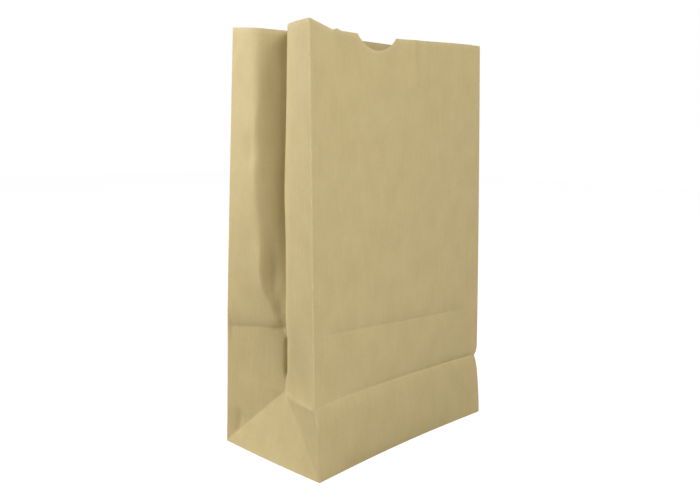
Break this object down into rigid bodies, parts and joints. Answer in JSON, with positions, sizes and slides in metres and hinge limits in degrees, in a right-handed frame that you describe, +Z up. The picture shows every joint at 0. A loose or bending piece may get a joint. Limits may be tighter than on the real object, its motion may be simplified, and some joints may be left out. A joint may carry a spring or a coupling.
{
  "type": "paper bag",
  "caption": "Upright brown kraft paper bag with a flat glued bottom, folded side gussets, an open mouth and a thumb notch in its front edge.",
  "frame": {"origin": "on the ground, under the middle of the bag's box in plan", "axes": "+Z up to the open mouth, -Y out of the front panel with the thumb notch, +X to the right as seen from the front"},
  "size_m": [0.2082, 0.1052, 0.3225],
  "materials": {
    "kraft_paper": "matt unbleached machine-glazed kraft paper, light brown"
  },
  "bodies": {
    "root": {"paper_bag": "kraft_paper"}
  },
  "joints": []
}
